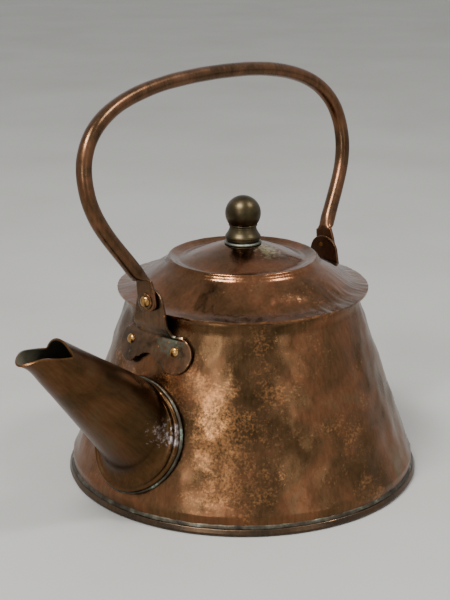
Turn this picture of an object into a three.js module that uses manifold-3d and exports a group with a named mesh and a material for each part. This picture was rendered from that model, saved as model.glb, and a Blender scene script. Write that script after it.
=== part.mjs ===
// A raised copper kettle: conical body on a flat folded base, riveted spout and handle brackets,
// a lift-off hat lid with a turned brass knob, and a swinging bail handle.
// Millimetres. X points along the spout and Z up; the origin is on the body's axis, on the table.
import * as THREE from 'three';
import { mergeVertices } from 'three/addons/utils/BufferGeometryUtils.js';
import Module from 'manifold-3d';

const wasm = await Module();
wasm.setup();

// ---- Driving dimensions ----
const clearance = 0.3; // between pieces that touch
const roundSides = 64; // facets of the large turned shapes
const smallSides = 14; // facets of rivets, washers and screws

const baseRadius = 100; // outside of the folded rim
const baseSheet = 1.4;
const rimHeight = 3.6;
const rimWidth = 2.6; // of the fold, from its outside to the slot that the wall stands in

const wallSheet = 1.2;
const footTurn = 10; // height at which the wall starts its straight slope
const footSpread = 1.1; // how far the wall stands outside its own foot there
const bodyHeight = 106.3;
const bodyTopRadius = 64.2;
const mouthRadius = 56; // hole in the shoulder that the lid's ring drops into
const shoulderChamfer = 1.2;

const lidSheet = 1.2;
const brimOverhang = 6; // past the top of the body
const brimLift = 0.6; // top of the brim's edge, above the body
const crestRadius = 41;
const crestRise = 17.6; // top of the crest ring, above the body
const padRadius = 11.3; // flat centre that the knob stands on
const padRise = 24.1; // above the body
const ringSheet = 1.2;
const ringDrop = 9.3; // depth of the lid's ring below the shoulder
const ringPlay = 0.6; // between the lid's ring and the mouth

const collarRadius = 10.4;
const collarHeight = 1.3;
const knobFootRadius = 9.9;
const knobFootHeight = 8.3; // from the collar to the neck's top
const knobNeckRadius = 7.5;
const knobBallRadius = 9.9;
const screwRadius = 2.4;
const screwReach = 9.2; // into the knob
const screwHeadRadius = 4.5;
const screwHeadHeight = 2.5;
const lidWasherRadius = 6;
const washerSheet = 0.8;

const spoutSheet = 1.1;
const spoutRootHeight = 42.7; // centre of the spout's root section
const spoutRootInset = 4.7; // that centre, inside the wall's surface
const spoutRootRadius = 22.6;
const spoutAngle = THREE.MathUtils.degToRad(43.1); // above the horizontal
const spoutTaper = 0.1426; // radius lost for each millimetre along the axis
const hoodReach = 47.9; // from the wall at the root to the end of the closed tube
const lipHeight = 101; // cut edge of the open lip, below the hood
const lipSlope = 0.17;
const flangeHeight = 42.1; // centre of the flange on the wall
const flangeBorder = 7.8; // of the flange, past the spout's root section
const flangeSheet = 1.4;
const flareRise = 5.5; // of the root's flare, above the wall
const solderWidth = 1.2;
const solderHeight = 0.8;

const bracketSheet = 1.8;
const earPlay = 0.7; // between the lid's brim and the bracket's ear
const pivotRise = 7.4; // of the handle's pivot, above the body
const earRadius = 10;
const earTopRise = 7.1; // of the ear's top, above the pivot
const bendDrop = 5.3; // end of the vertical strap, below the body's top
const strapHalfWidth = 13.2; // where it meets the plate
const lobeSpread = 17; // of the lobes' centres from the middle
const lobeDrop = 20.3; // of the lobes' centres below the body's top
const lobeRadius = 9.2;
const archRadius = 8.8;
const archDrop = 30.4; // of the arch's centre below the body's top
const rivetSpread = 16;
const rivetDrop = 18.6; // below the body's top
const rivetRadius = 2;
const rivetHeadRadius = 2.8;
const rivetHeadHeight = 1.9;
const roveRadius = 4.2; // washer under the rivet's tail
const tailRadius = 3;
const tailHeight = 1.3;

const handleRadius = 4.25; // of the round bar
const handleTilt = THREE.MathUtils.degToRad(12); // at rest, away from the upright
const handleHalfSpan = 102.7; // bar's centre line, at its widest
const handleWidestRise = 65; // above the pivot
const handleRise = 111.3; // bar's centre line at the grip, above the pivot
const handleFlat = 2.2; // thickness of the hammered end
const handleEndWidth = 13;
const handleEndDrop = 5.6; // end of the hammered flat, below the pivot
const barStartRise = 13.6; // where the round bar starts, above the pivot
const pivotRadius = 2.4;
const pivotHeadRadius = 3.1;
const pivotHeadHeight = 1.8;
const pivotWasherRadius = 4.6;
const pivotWasherSheet = 0.6;
const pivotTailRadius = 3.6; // of the countersunk tail, flush with the ear

// ---- Places worked out from them ----
const footRadius = baseRadius - rimWidth - clearance;
const slopeStartRadius = footRadius + footSpread;
const wallSlope = (slopeStartRadius - bodyTopRadius) / (bodyHeight - footTurn);
const wallTilt = Math.atan(wallSlope); // of the wall from the vertical
const brimRadius = bodyTopRadius + brimOverhang;
const earInside = brimRadius + earPlay;
const earOutside = earInside + bracketSheet;
const handleInside = earOutside + clearance;
const handleOutside = handleInside + handleFlat;
const pivotHeight = bodyHeight + pivotRise;
const flangeRadius = spoutRootRadius + flangeBorder;

function wallRadius(height) {
  if (height >= footTurn) return slopeStartRadius - wallSlope * (height - footTurn);
  const straightFoot = rimHeight + clearance;
  if (height <= straightFoot) return footRadius;
  return footRadius + footSpread * (height - straightFoot) / (footTurn - straightFoot);
}

// ---- Solid helpers ----
function toSolid(geometry) {
  const bare = geometry.clone();
  bare.deleteAttribute('normal');
  bare.deleteAttribute('uv');
  const merged = mergeVertices(bare, 1e-4);
  const position = merged.attributes.position.array;
  const index = merged.index.array;
  const corners = [];
  let volume = 0;
  const [a, b, c] = [new THREE.Vector3(), new THREE.Vector3(), new THREE.Vector3()];
  for (let i = 0; i < index.length; i += 3) {
    const [p, q, r] = [index[i], index[i + 1], index[i + 2]];
    if (p === q || q === r || r === p) continue;
    a.fromArray(position, 3 * p);
    b.fromArray(position, 3 * q);
    c.fromArray(position, 3 * r);
    volume += a.dot(b.cross(c));
    corners.push(p, q, r);
  }
  if (volume < 0) corners.reverse();
  return new wasm.Manifold(new wasm.Mesh({
    numProp: 3,
    vertProperties: new Float32Array(position),
    triVerts: new Uint32Array(corners),
  }));
}

function toGeometry(solid) {
  const mesh = solid.getMesh();
  const geometry = new THREE.BufferGeometry();
  geometry.setAttribute('position', new THREE.BufferAttribute(new Float32Array(mesh.vertProperties), 3));
  geometry.setIndex(new THREE.BufferAttribute(new Uint32Array(mesh.triVerts), 1));
  geometry.computeVertexNormals();
  return geometry;
}

// A turned solid about Z. The outline is [radius, height] pairs that start and end on the axis, or close.
function turned(outline, sides = roundSides) {
  const points = outline.map(([radius, height]) => new THREE.Vector2(radius, height));
  return new THREE.LatheGeometry(points, sides).rotateX(Math.PI / 2);
}

function closedOutline(outline) {
  return [...outline, outline[0]];
}

function disc(radius, bottom, top, sides = smallSides) {
  return turned([[0, bottom], [radius, bottom], [radius, top], [0, top]], sides);
}

function washer(hole, radius, bottom, top, sides = smallSides) {
  return turned(closedOutline([[hole, bottom], [radius, bottom], [radius, top], [hole, top]]), sides);
}

// The line moved sideways by a distance, to the left of its own direction.
function shifted(line, distance) {
  return line.map((point, i) => {
    const before = line[Math.max(i - 1, 0)];
    const after = line[Math.min(i + 1, line.length - 1)];
    const towards = ([ax, ay], [bx, by]) => new THREE.Vector2(bx - ax, by - ay).normalize();
    const first = i > 0 ? towards(before, point) : towards(point, after);
    const second = i < line.length - 1 ? towards(point, after) : first;
    const normal = new THREE.Vector2(-first.y - second.y, first.x + second.x).normalize();
    const reach = distance / Math.max(normal.dot(new THREE.Vector2(-first.y, first.x)), 0.5);
    return [point[0] + normal.x * reach, point[1] + normal.y * reach];
  });
}

// A sheet of even thickness, on the left of its outer line.
function sheetOutline(line, thickness) {
  return closedOutline([...line, ...shifted(line, thickness).reverse()]);
}

// A shape in the YZ plane, drawn as [y, z], made solid from one X to another.
function slabAlongX(shape, from, to, curveSegments = 12) {
  const options = { depth: to - from, bevelEnabled: false, curveSegments };
  const geometry = new THREE.ExtrudeGeometry(shape, options);
  const swap = new THREE.Matrix4().makeBasis(
    new THREE.Vector3(0, 1, 0), new THREE.Vector3(0, 0, 1), new THREE.Vector3(1, 0, 0));
  return geometry.applyMatrix4(swap).translate(from, 0, 0);
}

function polygon(points) {
  return new THREE.Shape(points.map(([x, y]) => new THREE.Vector2(x, y)));
}

// Turns a solid made along Z so that it stands at a place, pointing along a direction.
function stood(geometry, place, direction) {
  const turn = new THREE.Quaternion().setFromUnitVectors(new THREE.Vector3(0, 0, 1), direction);
  return geometry.applyQuaternion(turn).translate(place.x, place.y, place.z);
}

// Everything inside the wall's outer surface moved out by a distance.
function wallBlock(offset, bottom, top) {
  const heights = [bottom, Math.max(bottom, rimHeight + clearance), Math.max(bottom, footTurn), top];
  const sideways = offset / Math.cos(wallTilt);
  const side = [...new Set(heights)].map((height) => [wallRadius(height) + sideways, height]);
  return toSolid(turned([[0, bottom], ...side, [0, top]]));
}

function wallNormal(angle) {
  return new THREE.Vector3(
    Math.cos(angle) * Math.cos(wallTilt), Math.sin(angle) * Math.cos(wallTilt), Math.sin(wallTilt));
}

function wallPoint(angle, height) {
  return new THREE.Vector3(
    wallRadius(height) * Math.cos(angle), wallRadius(height) * Math.sin(angle), height);
}

// ---- Materials ----
const copper = new THREE.MeshStandardMaterial({ color: 0x7a4a2c, roughness: 0.38, metalness: 1 });
const darkCopper = new THREE.MeshStandardMaterial({ color: 0x5a3a24, roughness: 0.45, metalness: 1 });
const brass = new THREE.MeshStandardMaterial({ color: 0x5f5130, roughness: 0.3, metalness: 1 });
const rivetCopper = new THREE.MeshStandardMaterial({ color: 0xa8703c, roughness: 0.3, metalness: 1 });
const solder = new THREE.MeshStandardMaterial({ color: 0x6f7468, roughness: 0.6, metalness: 0.8 });

const kettle = new THREE.Group();

function add(name, geometry, material) {
  const mesh = new THREE.Mesh(geometry, material);
  mesh.name = name;
  kettle.add(mesh);
}

// ---- Spout axis and bore ----
const spoutDirection = new THREE.Vector3(Math.cos(spoutAngle), 0, Math.sin(spoutAngle));
const spoutRoot = new THREE.Vector3(wallRadius(spoutRootHeight) - spoutRootInset, 0, spoutRootHeight);
const spoutStart = -24;
const spoutEnd = 115;
const spoutSides = 40;

function spoutCone(inset, end = spoutEnd) {
  const radius = (along) => spoutRootRadius - spoutTaper * along - inset;
  const outline = [[0, spoutStart], [radius(spoutStart), spoutStart], [radius(end), end], [0, end]];
  return toSolid(stood(turned(outline, spoutSides), spoutRoot, spoutDirection));
}

// ---- Bracket rivets: place, direction and side ----
const rivetHeight = bodyHeight - rivetDrop;
const rivetAngle = rivetSpread / wallRadius(rivetHeight);
const rivetPlaces = [];
for (const [end, facing] of [['front', 0], ['rear', Math.PI]]) {
  for (const [side, turn] of [['left', rivetAngle], ['right', -rivetAngle]]) {
    const angle = facing + turn;
    const place = wallPoint(angle, rivetHeight);
    rivetPlaces.push({ name: `${end}_bracket`, side, place, normal: wallNormal(angle) });
  }
}

function rivetHole({ place, normal }) {
  return toSolid(stood(disc(rivetRadius + clearance, -10, 10), place, normal));
}

// ---- Body ----
const wallLine = [
  [footRadius, baseSheet + clearance],
  [footRadius, rimHeight + clearance],
  [slopeStartRadius, footTurn],
  [wallRadius(bodyHeight - shoulderChamfer), bodyHeight - shoulderChamfer],
  [bodyTopRadius - shoulderChamfer, bodyHeight],
  [mouthRadius, bodyHeight],
];
const spoutHoleInset = spoutSheet + 1;
let bodyShell = toSolid(turned(sheetOutline(wallLine, wallSheet)));
bodyShell = bodyShell.subtract(spoutCone(spoutHoleInset, spoutRootRadius));
for (const rivet of rivetPlaces) bodyShell = bodyShell.subtract(rivetHole(rivet));
add('body_shell', toGeometry(bodyShell), copper);

// ---- Base: a flat sheet whose edge is folded up round the wall's foot ----
const slotRadius = baseRadius - rimWidth;
const rimCorner = 0.4;
add('base_pan', turned([
  [0, 0],
  [baseRadius - 3 * rimCorner, 0],
  [baseRadius - rimCorner, rimCorner],
  [baseRadius, rimHeight * 0.42],
  [baseRadius - rimCorner, rimHeight * 0.66],
  [baseRadius - 2 * rimCorner, rimHeight - rimCorner],
  [baseRadius - 3 * rimCorner, rimHeight],
  [slotRadius + rimCorner, rimHeight],
  [slotRadius, rimHeight - rimCorner],
  [slotRadius, baseSheet],
  [0, baseSheet],
]), copper);

const seamBottom = rimHeight + clearance;
const seamTop = seamBottom + 1.9;
add('base_seam_solder', turned(closedOutline([
  [wallRadius(seamBottom) + clearance + 0.05, seamBottom],
  [baseRadius - 3 * rimCorner, seamBottom],
  [baseRadius - 4 * rimCorner, seamBottom + 0.8],
  [wallRadius(seamTop) + clearance + 0.5, seamTop],
  [wallRadius(seamTop) + clearance + 0.1, seamTop],
])), solder);

// ---- Spout ----
const flangeCentre = wallPoint(0, flangeHeight);
const flangeNormal = wallNormal(0);
const outsideWall = wallBlock(clearance, baseSheet, bodyHeight);

function flangePlug(radius, from, to) {
  return toSolid(stood(disc(radius, from, to, spoutSides), flangeCentre, flangeNormal));
}

const flangePlate = wallBlock(clearance + flangeSheet, baseSheet, bodyHeight)
  .intersect(flangePlug(flangeRadius, -30, 30));
const flareTopRadius = spoutRootRadius;
const flareOutline = [
  [0, -12],
  [flangeRadius - 2, -12],
  [flangeRadius - 2, flangeSheet],
  [(flangeRadius + flareTopRadius) / 2 - 1.5, flangeSheet + 0.25 * flareRise],
  [flareTopRadius + 0.6, flangeSheet + 0.6 * flareRise],
  [flareTopRadius, flangeSheet + flareRise],
  [0, flangeSheet + flareRise],
];
const upTheWall = new THREE.Vector3(-Math.sin(wallTilt), 0, Math.cos(wallTilt));
const flareCentre = flangeCentre.clone().addScaledVector(upTheWall, 2);
const flare = toSolid(stood(turned(flareOutline, spoutSides), flareCentre, flangeNormal));
const hoodX = wallRadius(spoutRootHeight) + hoodReach;
const mouthCut = toSolid(new THREE.BoxGeometry(80, 80, 60)
  .translate(40, 0, 30)
  .rotateY(-Math.atan(lipSlope))
  .translate(hoodX, 0, lipHeight));
const hoodGuard = toSolid(new THREE.BoxGeometry(60, 90, 120).translate(hoodX - 30, 0, lipHeight));
const spout = spoutCone(0)
  .add(flare)
  .add(flangePlate)
  .subtract(outsideWall)
  .subtract(spoutCone(spoutSheet))
  .subtract(mouthCut.subtract(hoodGuard));
add('spout', toGeometry(spout), darkCopper);

const solderRing = wallBlock(clearance + solderHeight, baseSheet, bodyHeight)
  .intersect(flangePlug(flangeRadius + clearance + solderWidth, -30, 30))
  .subtract(outsideWall)
  .subtract(flangePlug(flangeRadius + clearance, -35, 35));
add('spout_solder', toGeometry(solderRing), solder);

// ---- Brackets ----
const earCentre = pivotHeight + earTopRise - earRadius;
const bendHeight = bodyHeight - bendDrop;
const strapFoot = bendHeight - 6;
const lobeHeight = bodyHeight - lobeDrop;
const strapShape = new THREE.Shape();
strapShape.moveTo(strapHalfWidth, strapFoot);
strapShape.lineTo(earRadius, earCentre);
strapShape.absarc(0, earCentre, earRadius, 0, Math.PI, false);
strapShape.lineTo(-strapHalfWidth, strapFoot);
strapShape.lineTo(-lobeSpread, lobeHeight + lobeRadius - 0.1);
strapShape.lineTo(-lobeSpread, lobeHeight - lobeRadius * 0.5);
strapShape.lineTo(lobeSpread, lobeHeight - lobeRadius * 0.5);
strapShape.lineTo(lobeSpread, lobeHeight + lobeRadius - 0.1);
const reachIn = bodyTopRadius * 0.6;
const reachOut = earOutside + 20;

function roundAlongX(radius, y, z, from, to, sides = 28) {
  const cylinder = new THREE.CylinderGeometry(radius, radius, to - from, sides).rotateZ(Math.PI / 2);
  return toSolid(cylinder.translate((from + to) / 2, y, z));
}

const bracketOutline = toSolid(slabAlongX(strapShape, reachIn, reachOut))
  .add(roundAlongX(lobeRadius, lobeSpread, lobeHeight, reachIn, reachOut))
  .add(roundAlongX(lobeRadius, -lobeSpread, lobeHeight, reachIn, reachOut))
  .subtract(roundAlongX(archRadius, 0, bodyHeight - archDrop, reachIn - 1, reachOut + 1));
const plateTop = strapFoot + 1.5;
const plateSheet = wallBlock(clearance + bracketSheet, footTurn, plateTop)
  .subtract(wallBlock(clearance, footTurn - 1, plateTop + 1));
const strapFootInside = wallRadius(strapFoot - 3) + clearance / Math.cos(wallTilt);
const strapSide = polygon([
  [strapFootInside, strapFoot - 3],
  [strapFootInside + bracketSheet, strapFoot - 3],
  [strapFootInside + bracketSheet, strapFoot],
  [earOutside, bendHeight],
  [earOutside, pivotHeight + 30],
  [earInside, pivotHeight + 30],
  [earInside, bendHeight],
  [strapFootInside, strapFoot],
]);
const strapSheet = toSolid(new THREE.ExtrudeGeometry(strapSide, { depth: 60, bevelEnabled: false })
  .rotateX(Math.PI / 2)
  .translate(0, 30, 0));
const pinHole = pivotRadius + clearance;
const pivotHole = roundAlongX(pinHole, 0, pivotHeight, earInside - 5, handleOutside + 5, smallSides);
const alongX = new THREE.Vector3(1, 0, 0);
const countersinkOutline = [
  [0, -1],
  [pivotTailRadius + clearance + 1, -1],
  [pinHole, bracketSheet * 0.7],
  [0, bracketSheet * 0.7],
];
const earFace = new THREE.Vector3(earInside, 0, pivotHeight);
const countersink = toSolid(stood(turned(countersinkOutline, smallSides), earFace, alongX));
const halfTurn = new THREE.Matrix4().makeRotationZ(Math.PI);
let frontBracket = plateSheet.add(strapSheet).intersect(bracketOutline);
frontBracket = frontBracket.subtract(pivotHole).subtract(countersink);
for (const rivet of rivetPlaces.slice(0, 2)) frontBracket = frontBracket.subtract(rivetHole(rivet));
add('front_bracket', toGeometry(frontBracket), darkCopper);
add('rear_bracket', toGeometry(frontBracket).applyMatrix4(halfTurn), darkCopper);

// ---- Bracket rivets, each with a washer inside the body ----
const headSeat = clearance + bracketSheet + clearance;
const roveTop = -wallSheet - clearance;
const tailTop = roveTop - washerSheet - clearance;

// A low dome's outline from its edge to its top, as [radius, height] pairs.
function dome(radius, height, base, sign = 1, steps = 4) {
  const points = [];
  for (let i = 0; i <= steps; i += 1) {
    const turn = (i / steps) * Math.PI / 2;
    points.push([radius * Math.cos(turn), base + sign * height * Math.sin(turn)]);
  }
  points[steps][0] = 0;
  return points;
}

const rivetOutline = [
  ...dome(tailRadius, tailHeight, tailTop, -1).reverse(),
  [rivetRadius, tailTop],
  [rivetRadius, headSeat],
  ...dome(rivetHeadRadius, rivetHeadHeight, headSeat),
];
for (const { name, side, place, normal } of rivetPlaces) {
  add(`${name}_rivet_${side}`, stood(turned(rivetOutline, smallSides), place, normal), rivetCopper);
  const rove = washer(rivetRadius + clearance, roveRadius, roveTop - washerSheet, roveTop);
  add(`${name}_washer_${side}`, stood(rove, place, normal), copper);
}

// ---- Pivots ----
const headBase = handleOutside + clearance + pivotWasherSheet + clearance - earInside;
const tailFace = 0.05;
const pivotOutline = [
  [0, tailFace],
  [pivotTailRadius, tailFace],
  [pivotRadius, bracketSheet * 0.7],
  [pivotRadius, headBase],
  ...dome(pivotHeadRadius, pivotHeadHeight, headBase),
];
const washerBase = handleOutside + clearance - earInside;
for (const [end, facing] of [['front', 0], ['rear', Math.PI]]) {
  const spin = new THREE.Matrix4().makeRotationZ(facing);
  const rivet = stood(turned(pivotOutline, smallSides), earFace, alongX);
  add(`${end}_pivot_rivet`, rivet.applyMatrix4(spin), rivetCopper);
  const ring = washer(pinHole, pivotWasherRadius, washerBase, washerBase + pivotWasherSheet);
  add(`${end}_pivot_washer`, stood(ring, earFace, alongX).applyMatrix4(spin), darkCopper);
}

// ---- Bail handle: round bar between two hammered flat ends ----
const barStart = handleInside + handleRadius;
const at = (x, rise) => new THREE.Vector3(x, 0, rise);
const barSteps = 56;

function halfHandle(side) {
  const rising = new THREE.CubicBezierCurve3(
    at(side * barStart, barStartRise),
    at(side * (barStart + 14), barStartRise + 21),
    at(side * handleHalfSpan, handleWidestRise - 19),
    at(side * handleHalfSpan, handleWidestRise));
  const arching = new THREE.CubicBezierCurve3(
    at(side * handleHalfSpan, handleWidestRise),
    at(side * handleHalfSpan, handleWidestRise + 39.6),
    at(side * 50, handleRise),
    at(0, handleRise));
  return [rising, arching];
}

function reversed(curve) {
  return new THREE.CubicBezierCurve3(curve.v3, curve.v2, curve.v1, curve.v0);
}

const handlePath = new THREE.CurvePath();
const [leftRising, leftArching] = halfHandle(-1);
const [rightRising, rightArching] = halfHandle(1);
handlePath.curves.push(leftRising, leftArching, reversed(rightArching), reversed(rightRising));
const barSection = new THREE.Shape().absarc(0, 0, handleRadius, 0, 2 * Math.PI, false);
const bar = new THREE.ExtrudeGeometry(barSection, {
  steps: barSteps, extrudePath: handlePath, bevelEnabled: false, curveSegments: 6,
});

const endCorner = 4;
const halfEnd = handleEndWidth / 2;
const endShape = new THREE.Shape();
const cornerCentre = -handleEndDrop + endCorner;
endShape.moveTo(-halfEnd, cornerCentre);
endShape.absarc(-halfEnd + endCorner, cornerCentre, endCorner, Math.PI, 1.5 * Math.PI, false);
endShape.absarc(halfEnd - endCorner, cornerCentre, endCorner, 1.5 * Math.PI, 2 * Math.PI, false);
endShape.lineTo(halfEnd, 5);
endShape.lineTo(handleRadius, barStartRise + 2);
endShape.lineTo(handleRadius * 0.6, barStartRise + 5);
endShape.lineTo(-handleRadius * 0.6, barStartRise + 5);
endShape.lineTo(-handleRadius, barStartRise + 2);
endShape.lineTo(-halfEnd, 5);
const flatEnd = toSolid(slabAlongX(endShape, handleInside, handleOutside, 5));
const endHole = roundAlongX(pinHole, 0, 0, handleInside - 1, handleOutside + 1, smallSides);
const drilledEnd = flatEnd.subtract(endHole);
const mirroredEnd = toSolid(toGeometry(drilledEnd).rotateZ(Math.PI));
const handle = toSolid(bar).add(drilledEnd).add(mirroredEnd);
add('bail_handle', toGeometry(handle).rotateX(handleTilt).translate(0, 0, pivotHeight), copper);

// ---- Lid ----
const crestHeight = bodyHeight + crestRise;
const padHeight = bodyHeight + padRise;
const brimHeight = bodyHeight + brimLift;
const crestBand = brimRadius - crestRadius; // width of the brim outside the crest
const brimRise = crestHeight - brimHeight;
const seatRadius = bodyTopRadius - shoulderChamfer; // where the brim lies on the shoulder's edge
const seatHeight = bodyHeight + clearance + 1.1 * lidSheet; // the sheet is thicker measured upright
const lidCurve = new THREE.SplineCurve([
  [brimRadius, brimHeight],
  [seatRadius, seatHeight],
  [crestRadius + 0.58 * crestBand, brimHeight + 0.2 * brimRise],
  [crestRadius + 0.31 * crestBand, brimHeight + 0.5 * brimRise],
  [crestRadius + 0.12 * crestBand, brimHeight + 0.86 * brimRise],
  [crestRadius, crestHeight],
  [crestRadius - 4, crestHeight - 1.5],
  [crestRadius - 7.5, crestHeight - 1.7],
  [(crestRadius + padRadius) / 2 - 2, (crestHeight + padHeight) / 2 - 1.2],
  [padRadius, padHeight],
].map(([radius, height]) => new THREE.Vector2(radius, height)));
const screwHole = screwRadius + clearance;
const lidLine = lidCurve.getPoints(18).map((point) => [point.x, point.y]);
lidLine.push([screwHole, padHeight]);
add('lid_cover', turned(sheetOutline(lidLine, lidSheet)), copper);

const ringOutside = mouthRadius - ringPlay;
const lidSamples = lidCurve.getPoints(200);
const aboveRing = lidSamples.findIndex((point) => point.x <= ringOutside);
const rising = lidSamples[aboveRing].clone().sub(lidSamples[aboveRing - 1]);
const steepness = rising.length() / Math.abs(rising.x); // of the brim, where the ring meets it
const ringTop = lidSamples[aboveRing].y - (lidSheet + clearance) * steepness - 0.1;
add('lid_ring', turned(closedOutline([
  [ringOutside, bodyHeight - ringDrop],
  [ringOutside, ringTop],
  [ringOutside - ringSheet, ringTop],
  [ringOutside - ringSheet, bodyHeight - ringDrop],
])), copper);

// ---- Knob, screwed on from below ----
const knobSides = 28;
const collarBase = padHeight + clearance;
const collarTop = collarBase + collarHeight;
const knobBase = collarTop + clearance;
add('knob_collar', washer(screwHole, collarRadius, collarBase, collarTop, knobSides), solder);

const neckTop = knobBase + knobFootHeight;
const lineRadius = knobNeckRadius + 0.4;
const ballDrop = Math.sqrt(knobBallRadius ** 2 - lineRadius ** 2);
const ballCentre = neckTop + 1 + ballDrop;
const knobOutline = [
  [0, knobBase + screwReach + 0.5],
  [screwHole, knobBase + screwReach + 0.5],
  [screwHole, knobBase],
  [knobFootRadius - 1.1, knobBase],
  [knobFootRadius - 0.3, knobBase + 0.6],
  [knobFootRadius, knobBase + 1.7],
  [knobFootRadius - 0.3, knobBase + 2.9],
  [(knobFootRadius + knobNeckRadius) / 2 - 0.2, knobBase + 4.9],
  [knobNeckRadius + 0.1, knobBase + 6.8],
  [knobNeckRadius, neckTop],
  [lineRadius, neckTop + 0.3],
  [lineRadius, neckTop + 1],
];
const ballSteps = 9;
const ballStart = Math.asin(lineRadius / knobBallRadius);
for (let i = 1; i <= ballSteps; i += 1) {
  const turn = Math.PI - ballStart - (i / ballSteps) * (Math.PI - ballStart);
  knobOutline.push([knobBallRadius * Math.sin(turn), ballCentre + knobBallRadius * Math.cos(turn)]);
}
knobOutline[knobOutline.length - 1][0] = 0;
add('knob', turned(knobOutline, knobSides), brass);

const lidWasherTop = padHeight - lidSheet - clearance;
const screwHeadTop = lidWasherTop - washerSheet - clearance;
add('knob_washer', washer(screwHole, lidWasherRadius, lidWasherTop - washerSheet, lidWasherTop), brass);
add('knob_screw', turned([
  [0, screwHeadTop - screwHeadHeight],
  [screwHeadRadius - 0.8, screwHeadTop - screwHeadHeight],
  [screwHeadRadius, screwHeadTop - screwHeadHeight + 0.9],
  [screwHeadRadius, screwHeadTop],
  [screwRadius, screwHeadTop],
  [screwRadius, knobBase + screwReach],
  [0, knobBase + screwReach],
], smallSides), brass);

export default kettle;
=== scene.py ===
import math

import bmesh
import bpy
from mathutils import Matrix, Vector, noise


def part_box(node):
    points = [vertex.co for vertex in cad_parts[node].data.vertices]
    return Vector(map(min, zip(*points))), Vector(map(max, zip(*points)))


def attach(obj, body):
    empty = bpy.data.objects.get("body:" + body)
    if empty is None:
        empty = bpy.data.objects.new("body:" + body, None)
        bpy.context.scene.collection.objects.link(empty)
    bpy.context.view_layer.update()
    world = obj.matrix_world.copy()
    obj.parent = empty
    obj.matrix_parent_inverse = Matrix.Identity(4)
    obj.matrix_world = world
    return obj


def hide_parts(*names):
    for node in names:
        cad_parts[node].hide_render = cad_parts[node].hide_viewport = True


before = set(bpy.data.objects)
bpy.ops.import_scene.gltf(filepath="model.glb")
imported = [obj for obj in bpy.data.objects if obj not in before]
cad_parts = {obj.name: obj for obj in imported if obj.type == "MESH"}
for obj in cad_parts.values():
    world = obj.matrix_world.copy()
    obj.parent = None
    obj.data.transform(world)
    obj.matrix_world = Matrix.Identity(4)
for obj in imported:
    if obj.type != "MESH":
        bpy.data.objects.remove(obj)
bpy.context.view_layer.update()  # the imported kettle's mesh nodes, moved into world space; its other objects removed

mm = 0.001  # outlines below are written in millimetres

view = {
    "place": (0.5567, 0.5061, 0.3340),
    "towards": (-0.6972, -0.6509, -0.3004),
    "lens": 84.0,
}

# azimuth and height in degrees about the kettle; distance, width and tall in metres
softboxes = [
    {"name": "window_left", "azimuth": 17, "height": 19, "distance": 1.4,
     "width": 0.30, "tall": 0.46, "watts": 2.7},
    {"name": "window_right", "azimuth": 82, "height": 18, "distance": 1.4,
     "width": 0.26, "tall": 0.46, "watts": 0.8},
    {"name": "high_left", "azimuth": 4, "height": 58, "distance": 1.3,
     "width": 0.46, "tall": 0.24, "watts": 20.0},
    {"name": "high_right", "azimuth": 120, "height": 54, "distance": 1.3,
     "width": 0.22, "tall": 0.24, "watts": 8.0},
]

# floorSize and aimHeight, the point on the axis that the lights face, in metres; floorDrop in millimetres
room = {"colour": "#c9cacb", "strength": 1.28, "floorSize": 14.0, "floorDrop": 0.2, "aimHeight": 0.08}


def linear(hexColour):
    # sRGB hex to linear colour with alpha
    parts = [int(hexColour[i:i + 2], 16) / 255 for i in (1, 3, 5)]
    return [part / 12.92 if part <= 0.04045 else ((part + 0.055) / 1.055) ** 2.4 for part in parts] + [1.0]


def makeCamera():
    data = bpy.data.cameras.new("camera")
    data.lens = view["lens"]
    data.clip_end = 50
    camera = bpy.data.objects.new("camera", data)
    camera.location = view["place"]
    camera.rotation_euler = Vector(view["towards"]).to_track_quat("-Z", "Y").to_euler()
    bpy.context.scene.collection.objects.link(camera)
    bpy.context.scene.camera = camera


def makeLight(box):
    data = bpy.data.lights.new(box["name"], "AREA")
    data.shape = "RECTANGLE"
    data.size = box["width"]
    data.size_y = box["tall"]
    data.energy = box["watts"]
    light = bpy.data.objects.new(box["name"], data)
    turn, rise = math.radians(box["azimuth"]), math.radians(box["height"])
    aim = Vector((math.cos(rise) * math.cos(turn), math.cos(rise) * math.sin(turn), math.sin(rise)))
    light.location = aim * box["distance"] + Vector((0, 0, room["aimHeight"]))
    light.rotation_euler = (-aim).to_track_quat("-Z", "Y").to_euler()
    bpy.context.scene.collection.objects.link(light)


def makeRoom(floorMaterial):
    world = bpy.data.worlds.new("room")
    world.use_nodes = True
    background = world.node_tree.nodes["Background"]
    background.inputs["Color"].default_value = linear(room["colour"])
    background.inputs["Strength"].default_value = room["strength"]
    bpy.context.scene.world = world
    bm = bmesh.new()
    bmesh.ops.create_grid(bm, x_segments=1, y_segments=1, size=room["floorSize"] / 2)
    bmesh.ops.translate(bm, verts=bm.verts, vec=(0, 0, -room["floorDrop"] * mm))
    mesh = bpy.data.meshes.new("floor")
    bm.to_mesh(mesh)
    bm.free()
    mesh.materials.append(floorMaterial)
    floor = bpy.data.objects.new("floor", mesh)
    bpy.context.scene.collection.objects.link(floor)


def addNode(material, kind, inputs=None, stops=None, **settings):
    # one node with its settings, its fixed values and its links
    tree = material.node_tree
    node = tree.nodes.new(kind)
    for key, value in settings.items():
        setattr(node, key, value)
    for key, value in (inputs or {}).items():
        if isinstance(value, bpy.types.NodeSocket):
            tree.links.new(value, node.inputs[key])
        else:
            node.inputs[key].default_value = value
    if stops:
        ramp = node.color_ramp
        while len(ramp.elements) < len(stops):
            ramp.elements.new(0.5)
        for element, (place, colour) in zip(ramp.elements, stops):
            element.position = place
            element.color = linear(colour)
    return node


def newMaterial(name):
    material = bpy.data.materials.new(name)
    material.use_nodes = True
    return material, material.node_tree.nodes["Principled BSDF"]


def perSize(size):
    return 1 / (size * mm)  # texture scale for a feature of that many millimetres


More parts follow.
